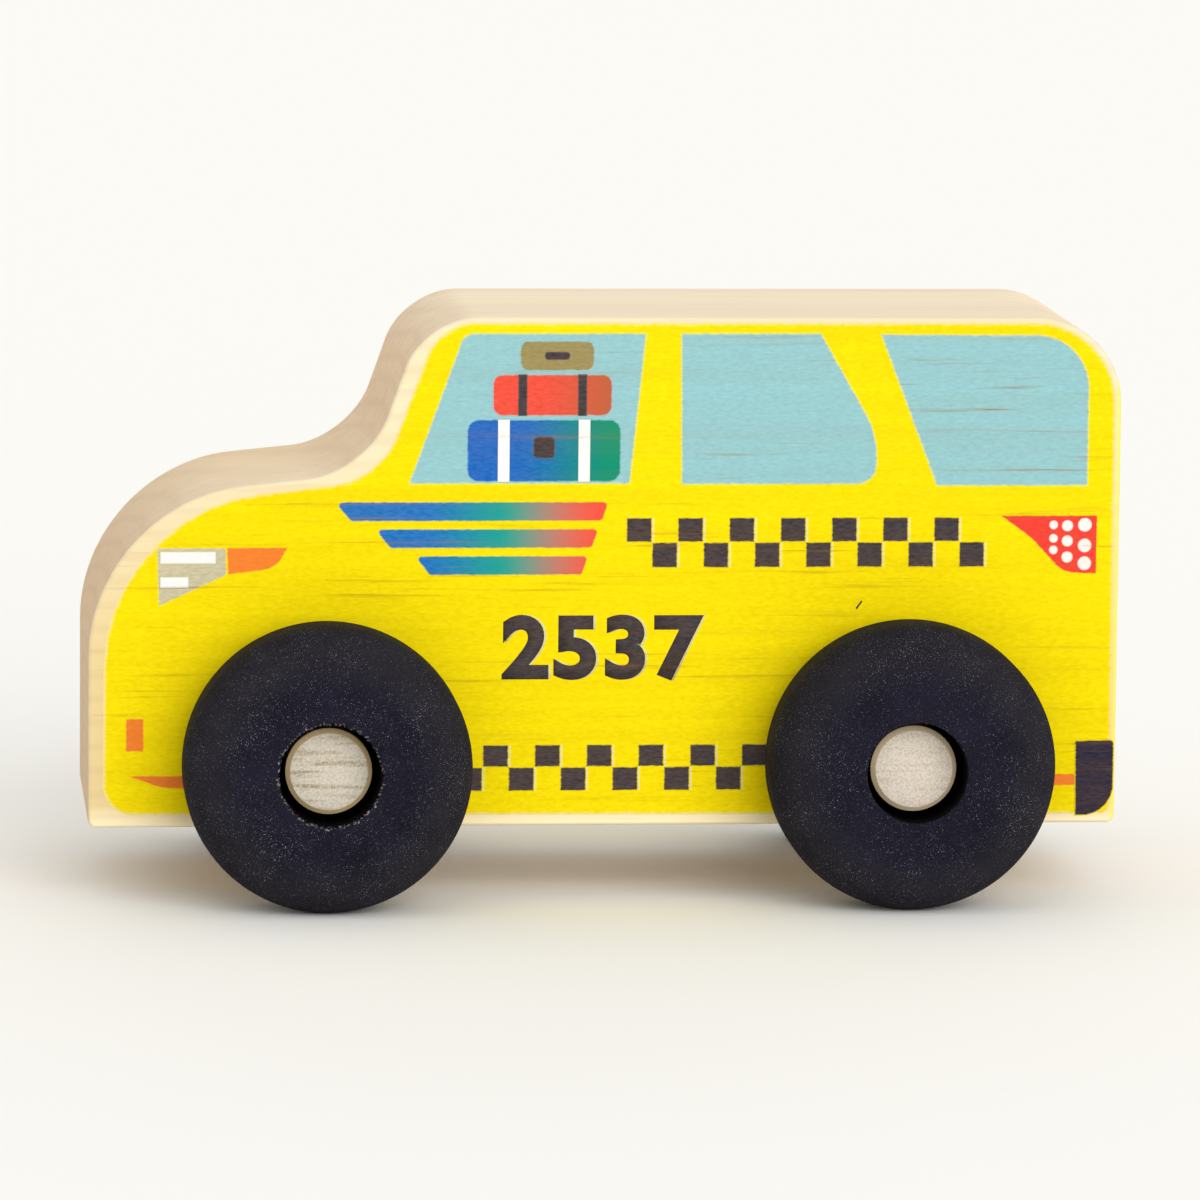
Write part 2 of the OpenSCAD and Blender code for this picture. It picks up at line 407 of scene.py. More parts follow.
def pegMaterial():
    # turned birch, bare: a pale cut face with growth lines and pores, and a tan rim that the tool burnished,
    # lifted paler by painted light
    sticks = {  # the pegs of each axle were cut from a stick of their own; the rims are painted paler against the recess's shade, the rear ones most
        "rear": {"face": "#e1d5c7", "rimTanAndPaintedLight": "#ffe3b6", "lines": 0.4},
        "front": {"face": "#d9d0c0", "rimTanAndPaintedLight": "#f0cf94", "lines": 1.25},
        "tilt": 7}  # degrees, the growth lines to the level
    look = {"line": "#94805c", "pore": "#8f7d60"}
    sizes = {"lineGap": 0.8, "lineLength": 9, "pore": 0.24}  # mm, pores drawn as coarse as two pixels
    material, tree = newMaterial("turned birch")
    coords = addNode(tree, "TexCoord")
    place = addNode(tree, "SeparateXYZ", {0: coords.outputs["Object"]})
    isFront = addNode(tree, "MapRange", {
        "Value": place.outputs[0], "From Min": -1 * mm, "From Max": 1 * mm}).outputs[0]
    tint = {}
    for name in ("face", "rimTanAndPaintedLight"):
        tint[name] = addNode(tree, "Mix", {
            mixFactor: isFront,
            mixA: hexColour(sticks["rear"][name]), mixB: hexColour(sticks["front"][name])},
            data_type="RGBA").outputs[mixOut]
    lineShow = addNode(tree, "MapRange", {
        "Value": isFront, "To Min": sticks["rear"]["lines"], "To Max": sticks["front"]["lines"]})
    along, across = 1 / (sizes["lineLength"] * mm), 1 / (sizes["lineGap"] * mm)
    linePlace = addNode(tree, "Mapping", {
        "Vector": coords.outputs["Object"], "Rotation": (0, math.radians(sticks["tilt"]), 0),
        "Scale": (along, along, across)})
    lineNoise = addNode(tree, "TexNoise", {"Vector": linePlace.outputs[0], "Scale": 1, "Detail": 2})
    poreNoise = addNode(tree, "TexNoise", {
        "Vector": coords.outputs["Object"], "Scale": 1 / (sizes["pore"] * mm), "Detail": 2})
    line = addNode(tree, "MapRange", {"Value": lineNoise.outputs["Fac"], "From Min": 0.48, "From Max": 0.64})
    broken = addNode(tree, "MapRange", {
        "Value": poreNoise.outputs["Fac"], "From Min": 0.3, "From Max": 0.65, "To Min": 0.15, "To Max": 0.7})
    brokenLine = addNode(tree, "Math", {0: line.outputs[0], 1: broken.outputs[0]}, operation="MULTIPLY")
    lineShare = addNode(tree, "Math", {
        0: brokenLine.outputs[0], 1: lineShow.outputs[0]}, operation="MULTIPLY")
    pore = addNode(tree, "MapRange", {
        "Value": poreNoise.outputs["Fac"], "From Min": 0.42, "From Max": 0.75, "To Max": 0.42})
    clean = addNode(tree, "Mix", {
        mixFactor: pore.outputs[0], mixA: tint["face"], mixB: hexColour(look["pore"])}, data_type="RGBA")
    face = addNode(tree, "Mix", {
        mixFactor: lineShare.outputs[0], mixA: clean.outputs[mixOut], mixB: hexColour(look["line"])},
        data_type="RGBA")
    normal = addNode(tree, "SeparateXYZ", {0: coords.outputs["Normal"]})
    facing = addNode(tree, "Math", {0: normal.outputs[1]}, operation="ABSOLUTE")
    # the bevel's burnished tan, partly painted light: paler than the wood, against the shade in the recess
    rimTanAndPaintedLight = addNode(tree, "MapRange", {
        "Value": facing.outputs[0], "From Min": 0.98, "From Max": 0.75, "To Max": 0.85})
    turned = addNode(tree, "Mix", {
        mixFactor: rimTanAndPaintedLight.outputs[0], mixA: face.outputs[mixOut], mixB: tint["rimTanAndPaintedLight"]}, data_type="RGBA")
    bump = addNode(tree, "Bump", {
        "Height": poreNoise.outputs["Fac"], "Strength": 0.15, "Distance": 0.05 * mm})
    shader = addNode(tree, "BsdfPrincipled", {
        "Base Color": turned.outputs[mixOut], "Roughness": 0.65, "IOR": 1.5, "Specular IOR Level": 0.2,
        "Normal": bump.outputs[0]})
    addNode(tree, "OutputMaterial", {"Surface": shader.outputs[0]})
    return material


maple = mapleMaterial()
dyedWood = dyedMaterial()
birch = pegMaterial()
print("materials for the woods done")


# body: block, cabin pulled up, corners rounded, edges sanded, peg holes drilled

body = {
    "hoodHeight": 39.4, "hoodSlope": 5.9,  # mm above the underside, degrees
    "screenBack": 30.6, "screenAngle": 70.6,  # mm behind the nose, degrees
    "noseRadius": 19, "cowlRadius": 10.5, "browRadius": 8.5, "tailRadius": 9.7, "sillRadius": 0.9,  # mm
    "edgeRadius": 0.5, "edgeSteps": 4, "sandedOver": 50,  # mm, and degrees of turn that make an edge
    "degreesPerStep": 3, "flatWithin": 0.5, "smoothUnder": 30,  # degrees
    "holeRadius": 2.78, "holeDepth": 13.4, "holeSteps": 48,  # mm
}


def roundCorner(piece, x, z, radius, turn):  # rounds the edge across the block at x, z
    near = 0.05 * mm
    startEdit(piece, "EDGE")
    pick(piece, "edges", lambda e: abs(e.verts[0].co.x - e.verts[1].co.x) < near
         and abs(middle(e).x - x) < near and abs(middle(e).z - z) < near)
    bpy.ops.mesh.bevel(
        offset=radius * mm * math.tan(math.radians(turn) / 2), offset_type="OFFSET",
        segments=max(3, round(turn / body["degreesPerStep"])), profile=0.5, affect="EDGES")
    endEdit()


def makeBody():
    length = bodyHigh.x - bodyLow.x
    roofZ = bodyHigh.z
    hoodZ = underside + body["hoodHeight"] * mm
    footX = noseX - body["screenBack"] * mm
    noseDrop = body["screenBack"] * mm * math.tan(math.radians(body["hoodSlope"]))
    lean = (roofZ - hoodZ) / math.tan(math.radians(body["screenAngle"]))
    clearSelection()
    bpy.ops.mesh.primitive_cube_add(size=1, location=(noseX - length / 2, 0, (underside + hoodZ) / 2))
    block = bpy.context.object
    block.name = "car_body"
    block.scale = (length, 2 * halfThick, hoodZ - underside)
    settle(block)
    # saw line at the foot of the windscreen, then the cabin is pulled up behind it
    startEdit(block)
    bpy.ops.mesh.select_all(action="SELECT")
    bpy.ops.mesh.bisect(plane_co=(footX, 0, 0), plane_no=(1, 0, 0))
    bpy.ops.mesh.select_mode(type="FACE")
    pick(block, "faces", lambda f: f.normal.z > 0.9 and f.calc_center_median().x < footX)
    bpy.ops.mesh.extrude_region_move(TRANSFORM_OT_translate={"value": (0, 0, roofZ - hoodZ)})
    # the windscreen leans back and the hood drops to the nose
    bpy.ops.mesh.select_mode(type="VERT")
    near = 0.01 * mm
    pick(block, "verts", lambda v: abs(v.co.x - footX) < near and abs(v.co.z - roofZ) < near)
    bpy.ops.transform.translate(value=(-lean, 0, 0))
    pick(block, "verts", lambda v: abs(v.co.x - noseX) < near and abs(v.co.z - hoodZ) < near)
    bpy.ops.transform.translate(value=(0, 0, -noseDrop))
    endEdit()
    tailX = noseX - length
    slope, screen = body["hoodSlope"], body["screenAngle"]
    roundCorner(block, noseX, hoodZ - noseDrop, body["noseRadius"], 90 - slope)
    roundCorner(block, footX, hoodZ, body["cowlRadius"], screen - slope)
    roundCorner(block, footX - lean, roofZ, body["browRadius"], screen)
    roundCorner(block, tailX, roofZ, body["tailRadius"], 90)
    roundCorner(block, tailX, underside, body["sillRadius"], 90)
    roundCorner(block, noseX, underside, body["sillRadius"], 90)
    # sawn faces are one plane, so the cut across the belly and sides goes away again
    startEdit(block)
    bpy.ops.mesh.select_all(action="SELECT")
    bpy.ops.mesh.dissolve_limited(angle_limit=math.radians(body["flatWithin"]))
    endEdit()
    sanding = block.modifiers.new("sanding", "BEVEL")
    sanding.width = body["edgeRadius"] * mm
    sanding.segments = body["edgeSteps"]
    sanding.limit_method = "ANGLE"
    sanding.angle_limit = math.radians(body["sandedOver"])
    applyModifiers(block)
    drillHoles(block)
    smooth(block, body["smoothUnder"])
    evened = block.modifiers.new("even shading", "WEIGHTED_NORMAL")
    evened.keep_sharp = True
    applyModifiers(block)
    return block


def drillHoles(block):  # blind holes for the pegs
    bits = []
    depth = body["holeDepth"] * mm
    overrun = 1 * mm
    for end, side in wheelCorners:
        centre = boxMiddle(f"wheel_{end}_{side}")
        y = sides[side] * (halfThick + (overrun - depth) / 2)
        clearSelection()
        bpy.ops.mesh.primitive_cylinder_add(
            vertices=body["holeSteps"], radius=body["holeRadius"] * mm, depth=depth + overrun,
            location=(centre.x, y, centre.z), rotation=(math.radians(90), 0, 0))
        settle(bpy.context.object)
        bits.append(bpy.context.object)
    drill = joinPieces(bits, "drill")
    cut = block.modifiers.new("holes", "BOOLEAN")
    cut.operation = "DIFFERENCE"
    cut.object = drill
    applyModifiers(block)
    bpy.data.objects.remove(drill)


carBody = makeBody()
dress(carBody, maple)
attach(carBody, "chassis")
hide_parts("body")
print("body done:", len(carBody.data.polygons), "faces")


# wheels: one is turned and bored, the others are copies, and each has its own chipped edge

wheel = {
    "steps": 160,
    "outerEdge": 5, "innerEdge": 4, "outerSteps": 12, "innerSteps": 10,  # mm, and steps round each edge
    "recessRadius": 5.55, "recessDepth": 6.8, "boreRadius": 2.85,  # mm
    "rimBreak": 0.15, "rimRing": 0.7,  # mm, broken edge of the recess, and the ring that its chips stay in
    "rimSteps": 2, "smoothUnder": 40,  # steps across the broken edge, and degrees
    "chips": {  # share of the edge that chips of each size take, mm that they reach, bare wood showing
        "front": {"share": 0.28, "reach": (0.09, 0.2, 0.34), "bare": 1},
        "rear": {"share": 0.1, "reach": (0.05, 0.12), "bare": 0.85}},
    "lip": 0.45,  # mm, depth of the recess that the chips reach
}


def copyPiece(piece, name):  # a copy with its own mesh
    selectOnly(piece)
    bpy.ops.object.duplicate()
    copy = bpy.context.object
    copy.name = name
    return copy


def copyTo(piece, fromNode, toNode):  # a copy at another corner of the car, turned round for the other side
    here, there = boxMiddle(fromNode), boxMiddle(toNode)
    copy = copyPiece(piece, f"{toNode}_turned")
    startEdit(copy)
    bpy.ops.mesh.select_all(action="SELECT")
    if here.y * there.y < 0:
        bpy.ops.transform.rotate(value=math.pi, orient_axis="Z", center_override=here)
    bpy.ops.transform.translate(value=there - here)
    endEdit()
    return copy


def axleDistance(co, centre):
    return math.hypot(co.x - centre.x, co.z - centre.z)


def makeWheel(node):  # on the left side
    low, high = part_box(node)
    centre = boxMiddle(node)
    radius = (high.z - low.z) / 2
    near = 0.02 * mm
    clearSelection()
    bpy.ops.mesh.primitive_cylinder_add(
        vertices=wheel["steps"], radius=radius, depth=high.y - low.y, end_fill_type="NGON",
        location=centre, rotation=(math.radians(90), 0, 0))
    disc = bpy.context.object
    disc.name = f"{node}_turned"
    settle(disc)
    startEdit(disc, "EDGE")
    for y, edge, steps in (
            (high.y, wheel["outerEdge"], wheel["outerSteps"]),
            (low.y, wheel["innerEdge"], wheel["innerSteps"])):
        pick(disc, "edges", lambda e: all(abs(v.co.y - y) < near for v in e.verts))
        bpy.ops.mesh.bevel(offset=edge * mm, segments=steps, profile=0.5, affect="EDGES")
    # recess for the peg's head, then the bore
    bpy.ops.mesh.select_mode(type="FACE")
    flat = radius - wheel["outerEdge"] * mm
    pick(disc, "faces", lambda f: isRoundEnd(f, high.y))
    bpy.ops.mesh.inset(thickness=flat - (wheel["recessRadius"] + wheel["rimRing"]) * mm, depth=0)
    bpy.ops.mesh.inset(thickness=wheel["rimRing"] * mm, depth=0)
    for depth in (wheel["lip"], wheel["recessDepth"] - wheel["lip"]):
        bpy.ops.mesh.extrude_region_move(TRANSFORM_OT_translate={"value": (0, -depth * mm, 0)})
    bpy.ops.mesh.inset(thickness=(wheel["recessRadius"] - wheel["boreRadius"]) * mm, depth=0)
    bpy.ops.mesh.delete(type="FACE")
    flat = radius - wheel["innerEdge"] * mm
    pick(disc, "faces", lambda f: isRoundEnd(f, low.y))
    bpy.ops.mesh.inset(thickness=flat - wheel["boreRadius"] * mm, depth=0)
    bpy.ops.mesh.delete(type="FACE")
    bpy.ops.mesh.select_mode(type="EDGE")
    pick(disc, "edges", lambda e: e.is_boundary)
    bpy.ops.mesh.bridge_edge_loops()
    # the recess's edge is broken
    pick(disc, "edges", lambda e: all(
        abs(v.co.y - high.y) < near
        and abs(axleDistance(v.co, centre) - wheel["recessRadius"] * mm) < near for v in e.verts))
    bpy.ops.mesh.bevel(offset=wheel["rimBreak"] * mm, segments=wheel["rimSteps"], profile=0.5, affect="EDGES")
    bpy.ops.mesh.select_all(action="SELECT")
    bpy.ops.mesh.normals_make_consistent(inside=False)
    endEdit()
    return disc


def chipEdge(disc, end, side):  # chips the recess's edge and leaves marks for the dye
    low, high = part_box(f"wheel_{end}_{side}")
    centre = (low + high) / 2
    outerY = high.y if sides[side] > 0 else low.y
    chips = wheel["chips"][end]
    chance = random.Random(f"{end} {side}")
    near = 0.02 * mm
    whole = (wheel["recessRadius"] + wheel["rimBreak"]) * mm + near
    deep = wheel["rimBreak"] * mm + near
    startEdit(disc)
    for further in chips["reach"]:  # each size takes its share of the edge that is still whole
        pick(disc, "verts", lambda v: axleDistance(v.co, centre) < whole and abs(v.co.y - outerY) < deep
             and chance.random() < chips["share"])
        grow = 1 + further / wheel["recessRadius"]
        bpy.ops.transform.resize(value=(grow, 1, grow), center_override=centre)
    endEdit()
    # how far out the lathe was, painted shade for the unlit recess, and bare wood where the edge broke away
    for name in ("turned", "inside", "worn"):
        disc.data.attributes.new(name, "FLOAT", "POINT")
    marks = disc.data.attributes
    ring = (wheel["recessRadius"] + wheel["rimRing"]) * mm - near
    for vertex in disc.data.vertices:
        away = axleDistance(vertex.co, centre)
        depth = abs(vertex.co.y - outerY)
        marks["turned"].data[vertex.index].value = away / ((high.z - low.z) / 2)
        if away < ring:
            marks["worn"].data[vertex.index].value = chips["bare"] if depth < deep else 0
            # painted shade, deepest below the lip
            marks["inside"].data[vertex.index].value = min(1, depth / (wheel["lip"] * mm))
    smooth(disc, wheel["smoothUnder"])


firstWheel = makeWheel("wheel_front_left")
discs = {wheelCorners[0]: firstWheel}
for end, side in wheelCorners[1:]:
    discs[end, side] = copyTo(firstWheel, "wheel_front_left", f"wheel_{end}_{side}")
for (end, side), disc in discs.items():
    chipEdge(disc, end, side)
    dress(disc, dyedWood)
    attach(disc, f"{end}_{side}_wheel")
    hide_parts(f"wheel_{end}_{side}")
print("wheels done")


# pegs: bevelled head on a shank that goes into the body

peg = {
    "steps": 96,
    "headThick": 3, "headBevel": 0.5,  # mm
    "shankRadius": 2.75, "tipBevel": 0.6,  # mm
    "smoothUnder": 40,  # degrees
}


def makePeg(node):  # on the left side
    low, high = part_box(node)
    centre = boxMiddle(node)
    radius = (high.z - low.z) / 2
    thick = peg["headThick"] * mm
    near = 0.02 * mm
    clearSelection()
    bpy.ops.mesh.primitive_cylinder_add(
        vertices=peg["steps"], radius=radius, depth=thick, end_fill_type="NGON",
        location=(centre.x, high.y - thick / 2, centre.z), rotation=(math.radians(90), 0, 0))
    pin = bpy.context.object
    pin.name = f"{node}_turned"
    settle(pin)
    startEdit(pin, "FACE")
    underHead = high.y - thick
    pick(pin, "faces", lambda f: isRoundEnd(f, underHead))
    bpy.ops.mesh.inset(thickness=radius - peg["shankRadius"] * mm, depth=0)
    bpy.ops.mesh.extrude_region_move(TRANSFORM_OT_translate={"value": (0, low.y - underHead, 0)})
    bpy.ops.mesh.select_mode(type="EDGE")
    for y, width in ((high.y, peg["headBevel"]), (low.y, peg["tipBevel"])):
        pick(pin, "edges", lambda e: all(abs(v.co.y - y) < near for v in e.verts))
        bpy.ops.mesh.bevel(offset=width * mm, segments=1, affect="EDGES")
    bpy.ops.mesh.select_all(action="SELECT")
    bpy.ops.mesh.normals_make_consistent(inside=False)
    endEdit()
    smooth(pin, peg["smoothUnder"])
    return pin


firstPeg = makePeg("axle_peg_front_left")
pins = {wheelCorners[0]: firstPeg}
for end, side in wheelCorners[1:]:
    pins[end, side] = copyTo(firstPeg, "axle_peg_front_left", f"axle_peg_{end}_{side}")
for (end, side), pin in pins.items():
    dress(pin, birch)
    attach(pin, "chassis")
    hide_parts(f"axle_peg_{end}_{side}")
print("pegs done")


# print: each ink is a thin film on the left side, its corners given in mm behind the nose and above the
# underside, and the right side gets a mirrored copy

film = {
    "thick": 0.02,  # mm for each layer
    "bleed": 0.2, "windowBleed": 0.35, "fieldBleed": 0.5,  # mm along the edge where the ink thins out
    "arcStep": 9, "dotSteps": 32,  # degrees of a round corner for each step, and steps round a dot
}


def onSide(back, up):
    return Vector((noseX - back * mm, halfThick, underside + up * mm))


def inkShape(corners, rounds=0):  # flat outline with rounded corners, before it gets its thickness
    clearSelection()
    bpy.ops.mesh.primitive_circle_add(vertices=len(corners), radius=1 * mm, fill_type="NGON")
    shape = bpy.context.object
    for vertex, corner in zip(shape.data.vertices, corners):
        vertex.co = onSide(*corner)
    radii = rounds if isinstance(rounds, (list, tuple)) else [rounds] * len(corners)
    count = len(corners)
    startEdit(shape)
    for i, radius in enumerate(radii):
        if radius <= 0:
            continue
        here = Vector(corners[i])
        coming = (here - Vector(corners[i - 1])).normalized()
        going = (Vector(corners[(i + 1) % count]) - here).normalized()
        turn = coming.angle(going)
        spot = onSide(*corners[i])
        pick(shape, "verts", lambda v: (v.co - spot).length < 0.005 * mm)
        bpy.ops.mesh.bevel(
            offset=radius * mm * math.tan(turn / 2), offset_type="OFFSET", profile=0.5, affect="VERTICES",
            segments=max(2, round(math.degrees(turn) / film["arcStep"])))
    endEdit()
    return shape


def inkDot(back, up, radius):
    clearSelection()
    bpy.ops.mesh.primitive_circle_add(
        vertices=film["dotSteps"], radius=radius * mm, fill_type="NGON",
        location=onSide(back, up), rotation=(math.radians(90), 0, 0))
    settle(bpy.context.object)
    return bpy.context.object


def layInk(shapes, name, layer, ink, bleed=film["bleed"]):  # joins shapes of one ink and thickens them
    sheet = joinPieces(shapes, f"{name}_left")
    sheet.data.attributes.new("edge", "FLOAT", "POINT")
    startEdit(sheet, "FACE")
    bpy.ops.mesh.select_all(action="SELECT")
    bpy.ops.mesh.normals_make_consistent(inside=False)
    pick(sheet, "faces", lambda f: f.normal.y < 0)
    bpy.ops.mesh.flip_normals()
    # a rim where the ink thins out, marked for its material
    bpy.ops.mesh.select_all(action="SELECT")
    if bleed:
        bpy.ops.mesh.inset(thickness=bleed * mm, depth=0)
    mesh = bmesh.from_edit_mesh(sheet.data)
    edge = mesh.verts.layers.float["edge"]
    for vertex in mesh.verts:
        vertex[edge] = 0 if vertex.select else 1
    bmesh.update_edit_mesh(sheet.data)
    endEdit()
    coat = sheet.modifiers.new("coat", "SOLIDIFY")
    coat.thickness = film["thick"] * layer * mm
    coat.offset = 1
    applyModifiers(sheet)
    dress(sheet, inks[ink])
    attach(sheet, "chassis")
    return sheet


# what shows at an ink's edge
under = {
    "maple": "#e8d6a4", "yellow": "#f7df04", "glass": "#93c4c9", "lamp": "#d9d5c4", "red": "#f2776a",
    "strap": "#6f6160"}
inks = {
    "yellow": inkMaterial("yellow ink on maple", "#f8df04", under["maple"], fleckLight=0.004, lineShow=0.42),
    "glass": inkMaterial("pale blue ink on maple", under["glass"], under["yellow"], lineShow=0.8),
    "charcoal": inkMaterial(
        "charcoal ink on maple", "#3c3438", under["yellow"], fleckLight=0.03, lineShow=0.2),
    "strap": inkMaterial("dark ink on maple", "#3c3438", under["strap"], fleckLight=0.03, lineShow=0.2),
    "navy": inkMaterial("navy ink on maple", "#28243a", under["yellow"], fleckLight=0.02, lineShow=0.12),
    "grey": inkMaterial("grey ink on maple", "#c4bc9a", under["yellow"], fleckLight=0.06),
    "white": inkMaterial("white ink on maple", "#f6f6f2", under["lamp"]),
    "dots": inkMaterial("pale ink on maple", "#f8efe8", under["red"]),
    "orange": inkMaterial("orange ink on maple", "#f58232", under["yellow"]),
    "red": inkMaterial("red ink on maple", "#ee4338", under["yellow"]),
    "khaki": inkMaterial("khaki ink on maple", "#978954", under["glass"], fleckLight=0.03),
    "gap": inkMaterial("thin ink on maple", "#e4dea0", under["yellow"]),
    "fade": inkMaterial("fading ink on maple", "#0d6fba", under["yellow"], fleckLight=0.03, fade=[
        {"from": 36, "to": 47, "colour": "#1d9a8c"}, {"from": 45, "to": 57, "colour": "#ea5240"}]),
    "sea": inkMaterial("blue to green ink on maple", "#0c62b8", under["glass"], fleckLight=0.03, fade=[
        {"from": 46, "to": 58, "colour": "#128a6a"}]),
    "ember": inkMaterial("red to rust ink on maple", "#ea4a38", under["glass"], fleckLight=0.03, fade=[
        {"from": 48, "to": 60, "colour": "#b0603f"}]),
}
print("inks done")

field = {
    "corners": [(1.6, 1.4), (1.8, 35.0), (32.0, 38.7), (38.5, 56.0), (113.6, 56.0), (113.8, 1.0)],
    "rounds": [3.4, 19.2, 8, 5.5, 9, 1.2],
}
windows = {
    "front": {"corners": [(41.2, 54.9), (61.4, 54.9), (59.7, 38.1), (35.1, 38.1)], "rounds": [1.4, 0, 0, 0]},
    "middle": {
        "corners": [(65.1, 54.9), (80.7, 54.9), (87.3, 43.4), (87.0, 38.0), (65.3, 38.0)],
        "rounds": [0, 0, 9, 2.2, 0]},
    "rear": {"corners": [(87.2, 54.8), (110.7, 54.7), (110.7, 37.8), (93.7, 37.8)], "rounds": [0, 6, 0, 0]},
}
checkers = {
    "upper": {"start": 59.3, "top": 34.4, "wide": 2.85, "rows": (2.75, 2.85), "pairs": 7},
    "lower": {"start": 37.8, "top": 9.1, "wide": 2.88, "rows": (2.5, 2.7), "pairs": 7},
}
headlamp = {
    "panel": [(7.5, 31.15), (15.15, 31.15), (15.2, 28.1), (7.7, 24.6)],
    "bars": [
        [(7.9, 30.7), (14.0, 30.7), (14.0, 29.4), (7.9, 29.4)],
        [(7.9, 27.9), (11.0, 27.9), (11.0, 26.7), (7.9, 26.7)]],
    "indicator": [(15.2, 31.2), (22.0, 31.2), (20.6, 28.8), (15.3, 28.1)],
    "indicatorRounds": [0, 0, 2.5, 0],
}
tailLamp = {
    "corners": [(100.8, 34.6), (111.8, 34.6), (111.8, 28.0), (108.0, 28.1), (104.4, 32.0)],
    "rounds": [0, 0, 0, 3, 6],
    # columns of dots: mm behind the nose, dot radius, heights
    "dots": [
        (110.4, 0.8, (33.5, 31.2, 29.2)),
        (108.45, 0.66, (33.4, 31.7, 29.9)),
        (106.9, 0.52, (33.5, 32.0, 30.7))],
}
trim = {
    "marker": [(4.1, 12.2), (6.15, 12.2), (6.15, 8.5), (4.1, 8.5)],
    "sliver": [(4.1, 5.85), (12.5, 5.85), (12.5, 4.3), (8.2, 4.35)],
    "sliverRounds": [0, 0, 0, 5],
    "sill": [(104.0, 5.6), (109.8, 5.6), (109.8, 4.2), (104.0, 4.2)],
    "bumper": [(109.7, 9.3), (114.1, 9.4), (114.1, 1.0), (109.8, 0.8)],
    "bumperRounds": [0, 0.5, 3.4, 0],
    "nick": [(84.9, 24.25), (85.05, 24.1), (85.65, 25.0), (85.5, 25.1)],
}
number = {
    "digits": "2537", "left": 45.6, "right": 68.0, "bottom": 16.2, "top": 23.6,
    "weight": 0.04, "spacing": 1.1, "curveSteps": 8, "weld": 0.0001,  # of a digit's height
}
bareGap = {"shift": 0.26, "thick": 0.75}  # mm wide beside charcoal ink, and share of that ink's thickness
luggage = {  # left, right, bottom, top, corner radius
    "trunk": (41.6, 58.6, 38.4, 45.3, 1.3),
    "case": (44.4, 57.6, 45.7, 50.3, 1.1),
    "bag": (47.4, 55.6, 50.7, 54.0, 1.0),
    "trunkStraps": [(45.0, 46.3, 38.4, 45.3, 0), (53.9, 55.2, 38.4, 45.3, 0)],
    "darkStraps": [  # on the case, then the bag's handle and the trunk's lock
        (47.2, 48.2, 45.7, 50.3, 0), (53.8, 54.8, 45.7, 50.3, 0),
        (50.1, 52.9, 51.9, 52.8, 0.4), (48.9, 51.3, 41.0, 43.4, 0.5)],
}
stripes = {
    "bars": [
        [(27.0, 36.2), (57.4, 36.2), (56.6, 34.0), (28.8, 34.0)],
        [(31.4, 33.2), (56.3, 33.2), (55.5, 31.0), (33.2, 31.0)],
        [(35.8, 30.2), (55.2, 30.2), (54.4, 28.0), (37.6, 28.0)]],
    "round": 0.5,
}


def checkerShapes(plan):
    shapes = []
    for row in (0, 1):
        top = plan["top"] - sum(plan["rows"][:row])
        bottom = top - plan["rows"][row]
        left = plan["start"] + row * plan["wide"]
        right = left + plan["wide"]
        square = inkShape([(left, top), (right, top), (right, bottom), (left, bottom)])
        along = square.modifiers.new("along", "ARRAY")
        along.count = plan["pairs"]
        along.use_relative_offset = False
        along.use_constant_offset = True
        along.constant_offset_displace = (-2 * plan["wide"] * mm, 0, 0)
        applyModifiers(square)
        shapes.append(square)
    return shapes


def boxShape(plan):
    left, right, bottom, top, radius = plan
    return inkShape([(left, top), (right, top), (right, bottom), (left, bottom)], radius)


def numberShape():
    clearSelection()
    bpy.ops.object.text_add(rotation=(math.radians(90), 0, math.radians(180)))
    words = bpy.context.object
    words.data.body = number["digits"]
    words.data.offset = number["weight"]
    words.data.space_character = number["spacing"]
    words.data.resolution_u = number["curveSteps"]
    bpy.ops.object.convert(target="MESH")
    settle(words)
    low = [min(v.co[i] for v in words.data.vertices) for i in range(3)]
    high = [max(v.co[i] for v in words.data.vertices) for i in range(3)]
    startEdit(words)
    bpy.ops.mesh.select_all(action="SELECT")
    bpy.ops.mesh.remove_doubles(threshold=number["weld"])
    wide = (number["right"] - number["left"]) * mm / (high[0] - low[0])
    tall = (number["top"] - number["bottom"]) * mm / (high[2] - low[2])
    bpy.ops.transform.resize(value=(wide, 1, tall), center_override=(high[0], 0, low[2]))
    corner = onSide(number["left"], number["bottom"])
    bpy.ops.transform.translate(value=(corner.x - high[0], corner.y, corner.z - low[2]))
    endEdit()
    return words


def gapUnder(sheet):  # the same shapes again, slid back a little, in the bare gap under them
    gap = copyPiece(sheet, sheet.name + "_gap")
    startEdit(gap)
    bpy.ops.mesh.select_all(action="SELECT")
    bpy.ops.transform.translate(value=(-bareGap["shift"] * mm, 0, 0))
    bpy.ops.transform.resize(value=(1, bareGap["thick"], 1), center_override=(0, halfThick, 0))
    endEdit()
    dress(gap, inks["gap"])
    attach(gap, "chassis")
    return gap


def toRight(sheet, turned=False):  # the same ink on the right side, mirrored, or turned so that it reads
    copy = copyPiece(sheet, sheet.name.replace("_left", "_right"))
    startEdit(copy, "FACE")
    bpy.ops.mesh.select_all(action="SELECT")
    if turned:
        middleX = onSide((number["left"] + number["right"]) / 2, 0).x
        bpy.ops.transform.rotate(value=math.pi, orient_axis="Z", center_override=(middleX, 0, 0))
    else:
        bpy.ops.transform.resize(value=(1, -1, 1), center_override=(0, 0, 0))
        bpy.ops.mesh.normals_make_consistent(inside=False)
    endEdit()
    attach(copy, "chassis")


